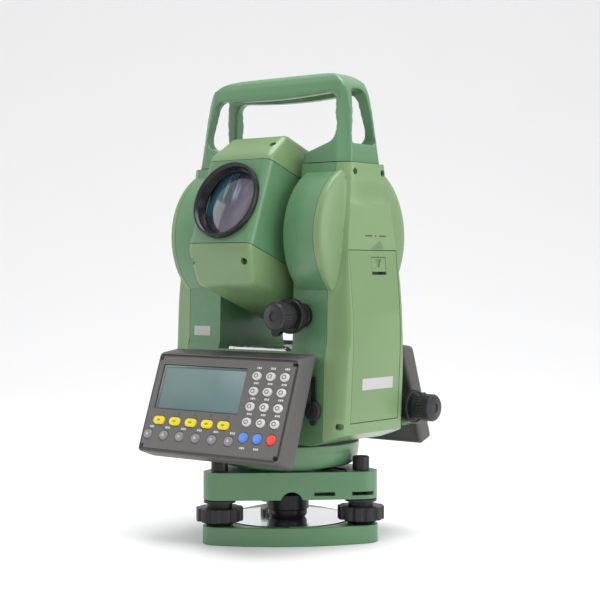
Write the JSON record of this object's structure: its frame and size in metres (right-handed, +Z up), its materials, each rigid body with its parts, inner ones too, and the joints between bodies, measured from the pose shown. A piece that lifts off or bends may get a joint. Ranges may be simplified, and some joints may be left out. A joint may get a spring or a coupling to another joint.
{
  "type": "surveying total station",
  "caption": "Green surveying total station: levelling base with foot screws, two-standard turning body, tilting telescope, carry handle and leaning keypad displays.",
  "frame": {"origin": "under the base plate, at the middle of the bounding box; the turning axis stands 8 mm to the left of it", "axes": "+Z up, -Y the way the objective looks, +X towards the battery side"},
  "size_m": [0.1826, 0.1792, 0.344],
  "materials": {
    "sage": "satin sage-green paint",
    "leaf": "satin leaf-green moulding",
    "grey_brown": "fine-textured grey-brown moulding",
    "black": "satin black",
    "rubber": "matt black",
    "steel": "polished",
    "glass": "coated glass",
    "screen": "grey-green liquid crystal",
    "white_key": "satin white",
    "yellow_key": "satin yellow",
    "grey_key": "satin grey",
    "blue_key": "satin blue",
    "red_key": "satin red"
  },
  "bodies": {
    "base": {"base_plate": "sage", "spring_plate": "steel", "tribrach_body": "sage", "circular_bubble": "black", "azimuth_base": "sage", "horizontal_circle": "glass"},
    "alidade": {"alidade_frame": "sage", "side_cover_left": "leaf", "side_cover_right": "leaf", "carry_handle": "sage", "front_display_housing": "grey_brown", "front_display_window": "screen", "rear_display_housing": "grey_brown", "port_cap": "rubber", "tubular_level": "steel", "vertical_spindle": "steel"},
    "telescope": {"telescope_body": "sage", "telescope_top_cover": "leaf", "telescope_bottom_cover": "leaf", "objective_ring": "black", "objective_lens": "glass", "trunnion_axle": "steel", "vertical_circle": "glass"},
    "focus_ring": {"focus_ring": "black"},
    "eyepiece": {"eyepiece": "black"},
    "battery": {"battery_pack": "leaf"},
    "latch": {"battery_latch": "leaf"},
    "vertical_clamp": {"vertical_clamp": "black"},
    "vertical_tangent_knob": {"vertical_tangent_knob": "black"},
    "horizontal_clamp": {"horizontal_clamp": "black"},
    "horizontal_tangent_knob": {"horizontal_tangent_knob": "black"},
    "foot_screw_1": {"foot_screw_1": "black"},
    "foot_screw_2": {"foot_screw_2": "black"},
    "foot_screw_3": {"foot_screw_3": "black"},
    "key_white_01": {"key_white_01": "white_key"},
    "key_white_02": {"key_white_02": "white_key"},
    "key_white_03": {"key_white_03": "white_key"},
    "key_white_04": {"key_white_04": "white_key"},
    "key_white_05": {"key_white_05": "white_key"},
    "key_white_06": {"key_white_06": "white_key"},
    "key_white_07": {"key_white_07": "white_key"},
    "key_white_08": {"key_white_08": "white_key"},
    "key_white_09": {"key_white_09": "white_key"},
    "key_white_10": {"key_white_10": "white_key"},
    "key_white_11": {"key_white_11": "white_key"},
    "key_white_12": {"key_white_12": "white_key"},
    "key_yellow_1": {"key_yellow_1": "yellow_key"},
    "key_yellow_2": {"key_yellow_2": "yellow_key"},
    "key_yellow_3": {"key_yellow_3": "yellow_key"},
    "key_yellow_4": {"key_yellow_4": "yellow_key"},
    "key_yellow_5": {"key_yellow_5": "yellow_key"},
    "key_grey_1": {"key_grey_1": "grey_key"},
    "key_grey_2": {"key_grey_2": "grey_key"},
    "key_grey_3": {"key_grey_3": "grey_key"},
    "key_grey_4": {"key_grey_4": "grey_key"},
    "key_grey_5": {"key_grey_5": "grey_key"},
    "key_grey_6": {"key_grey_6": "grey_key"},
    "key_blue_1": {"key_blue_1": "blue_key"},
    "key_blue_2": {"key_blue_2": "blue_key"},
    "key_red": {"key_red": "red_key"}
  },
  "joints": [
    {"name": "alidade_turn", "type": "hinge", "parent": "base", "child": "alidade", "pos_m": [-0.008, 0, 0.075], "axis": [0, 0, 1], "continuous": true},
    {"name": "telescope_tilt", "type": "hinge", "parent": "alidade", "child": "telescope", "pos_m": [-0.008, 0, 0.2239], "axis": [1, 0, 0], "continuous": true},
    {"name": "focus_turn", "type": "hinge", "parent": "telescope", "child": "focus_ring", "pos_m": [-0.008, 0, 0.2239], "axis": [0, -0.9385, 0.3453], "range_deg": [-150, 150]},
    {"name": "eyepiece_turn", "type": "hinge", "parent": "telescope", "child": "eyepiece", "pos_m": [-0.008, 0, 0.2239], "axis": [0, -0.9385, 0.3453], "range_deg": [-180, 180]},
    {"name": "battery_pull", "type": "slide", "parent": "alidade", "child": "battery", "axis": [1, 0, 0], "range_m": [0, 0.022]},
    {"name": "latch_press", "type": "slide", "parent": "battery", "child": "latch", "axis": [0, 0, -1], "range_m": [0, 0.002], "stiffness_N_per_m": 400},
    {"name": "vertical_clamp_turn", "type": "hinge", "parent": "alidade", "child": "vertical_clamp", "pos_m": [0.0365, -0.045, 0.167], "axis": [0, -1, 0], "range_deg": [0, 50]},
    {"name": "vertical_tangent_turn", "type": "hinge", "parent": "alidade", "child": "vertical_tangent_knob", "pos_m": [0.0365, -0.06, 0.167], "axis": [0, -1, 0], "continuous": true},
    {"name": "horizontal_clamp_turn", "type": "hinge", "parent": "alidade", "child": "horizontal_clamp", "pos_m": [0.06, 0.0505, 0.0976], "axis": [1, 0, 0], "range_deg": [0, 50]},
    {"name": "horizontal_tangent_turn", "type": "hinge", "parent": "alidade", "child": "horizontal_tangent_knob", "pos_m": [0.08, 0.0505, 0.0976], "axis": [1, 0, 0], "continuous": true},
    {"name": "foot_screw_1_turn", "type": "hinge", "parent": "base", "child": "foot_screw_1", "pos_m": [0.05039, 0.0138, 0.02], "axis": [0, 0, 1], "continuous": true},
    {"name": "foot_screw_2_turn", "type": "hinge", "parent": "base", "child": "foot_screw_2", "pos_m": [-0.04915, 0.04367, 0.02], "axis": [0, 0, 1], "continuous": true},
    {"name": "foot_screw_3_turn", "type": "hinge", "parent": "base", "child": "foot_screw_3", "pos_m": [-0.02524, -0.05747, 0.02], "axis": [0, 0, 1], "continuous": true},
    {"name": "key_white_01_press", "type": "slide", "parent": "alidade", "child": "key_white_01", "axis": [0, 0.9426, -0.3338], "range_m": [0, 0.0008], "stiffness_N_per_m": 600},
    {"name": "key_white_02_press", "type": "slide", "parent": "alidade", "child": "key_white_02", "axis": [0, 0.9426, -0.3338], "range_m": [0, 0.0008], "stiffness_N_per_m": 600},
    {"name": "key_white_03_press", "type": "slide", "parent": "alidade", "child": "key_white_03", "axis": [0, 0.9426, -0.3338], "range_m": [0, 0.0008], "stiffness_N_per_m": 600},
    {"name": "key_white_04_press", "type": "slide", "parent": "alidade", "child": "key_white_04", "axis": [0, 0.9426, -0.3338], "range_m": [0, 0.0008], "stiffness_N_per_m": 600},
    {"name": "key_white_05_press", "type": "slide", "parent": "alidade", "child": "key_white_05", "axis": [0, 0.9426, -0.3338], "range_m": [0, 0.0008], "stiffness_N_per_m": 600},
    {"name": "key_white_06_press", "type": "slide", "parent": "alidade", "child": "key_white_06", "axis": [0, 0.9426, -0.3338], "range_m": [0, 0.0008], "stiffness_N_per_m": 600},
    {"name": "key_white_07_press", "type": "slide", "parent": "alidade", "child": "key_white_07", "axis": [0, 0.9426, -0.3338], "range_m": [0, 0.0008], "stiffness_N_per_m": 600},
    {"name": "key_white_08_press", "type": "slide", "parent": "alidade", "child": "key_white_08", "axis": [0, 0.9426, -0.3338], "range_m": [0, 0.0008], "stiffness_N_per_m": 600},
    {"name": "key_white_09_press", "type": "slide", "parent": "alidade", "child": "key_white_09", "axis": [0, 0.9426, -0.3338], "range_m": [0, 0.0008], "stiffness_N_per_m": 600},
    {"name": "key_white_10_press", "type": "slide", "parent": "alidade", "child": "key_white_10", "axis": [0, 0.9426, -0.3338], "range_m": [0, 0.0008], "stiffness_N_per_m": 600},
    {"name": "key_white_11_press", "type": "slide", "parent": "alidade", "child": "key_white_11", "axis": [0, 0.9426, -0.3338], "range_m": [0, 0.0008], "stiffness_N_per_m": 600},
    {"name": "key_white_12_press", "type": "slide", "parent": "alidade", "child": "key_white_12", "axis": [0, 0.9426, -0.3338], "range_m": [0, 0.0008], "stiffness_N_per_m": 600},
    {"name": "key_yellow_1_press", "type": "slide", "parent": "alidade", "child": "key_yellow_1", "axis": [0, 0.9426, -0.3338], "range_m": [0, 0.0008], "stiffness_N_per_m": 600},
    {"name": "key_yellow_2_press", "type": "slide", "parent": "alidade", "child": "key_yellow_2", "axis": [0, 0.9426, -0.3338], "range_m": [0, 0.0008], "stiffness_N_per_m": 600},
    {"name": "key_yellow_3_press", "type": "slide", "parent": "alidade", "child": "key_yellow_3", "axis": [0, 0.9426, -0.3338], "range_m": [0, 0.0008], "stiffness_N_per_m": 600},
    {"name": "key_yellow_4_press", "type": "slide", "parent": "alidade", "child": "key_yellow_4", "axis": [0, 0.9426, -0.3338], "range_m": [0, 0.0008], "stiffness_N_per_m": 600},
    {"name": "key_yellow_5_press", "type": "slide", "parent": "alidade", "child": "key_yellow_5", "axis": [0, 0.9426, -0.3338], "range_m": [0, 0.0008], "stiffness_N_per_m": 600},
    {"name": "key_grey_1_press", "type": "slide", "parent": "alidade", "child": "key_grey_1", "axis": [0, 0.9426, -0.3338], "range_m": [0, 0.0008], "stiffness_N_per_m": 600},
    {"name": "key_grey_2_press", "type": "slide", "parent": "alidade", "child": "key_grey_2", "axis": [0, 0.9426, -0.3338], "range_m": [0, 0.0008], "stiffness_N_per_m": 600},
    {"name": "key_grey_3_press", "type": "slide", "parent": "alidade", "child": "key_grey_3", "axis": [0, 0.9426, -0.3338], "range_m": [0, 0.0008], "stiffness_N_per_m": 600},
    {"name": "key_grey_4_press", "type": "slide", "parent": "alidade", "child": "key_grey_4", "axis": [0, 0.9426, -0.3338], "range_m": [0, 0.0008], "stiffness_N_per_m": 600},
    {"name": "key_grey_5_press", "type": "slide", "parent": "alidade", "child": "key_grey_5", "axis": [0, 0.9426, -0.3338], "range_m": [0, 0.0008], "stiffness_N_per_m": 600},
    {"name": "key_grey_6_press", "type": "slide", "parent": "alidade", "child": "key_grey_6", "axis": [0, 0.9426, -0.3338], "range_m": [0, 0.0008], "stiffness_N_per_m": 600},
    {"name": "key_blue_1_press", "type": "slide", "parent": "alidade", "child": "key_blue_1", "axis": [0, 0.9426, -0.3338], "range_m": [0, 0.0008], "stiffness_N_per_m": 600},
    {"name": "key_blue_2_press", "type": "slide", "parent": "alidade", "child": "key_blue_2", "axis": [0, 0.9426, -0.3338], "range_m": [0, 0.0008], "stiffness_N_per_m": 600},
    {"name": "key_red_press", "type": "slide", "parent": "alidade", "child": "key_red", "axis": [0, 0.9426, -0.3338], "range_m": [0, 0.0008], "stiffness_N_per_m": 600}
  ]
}
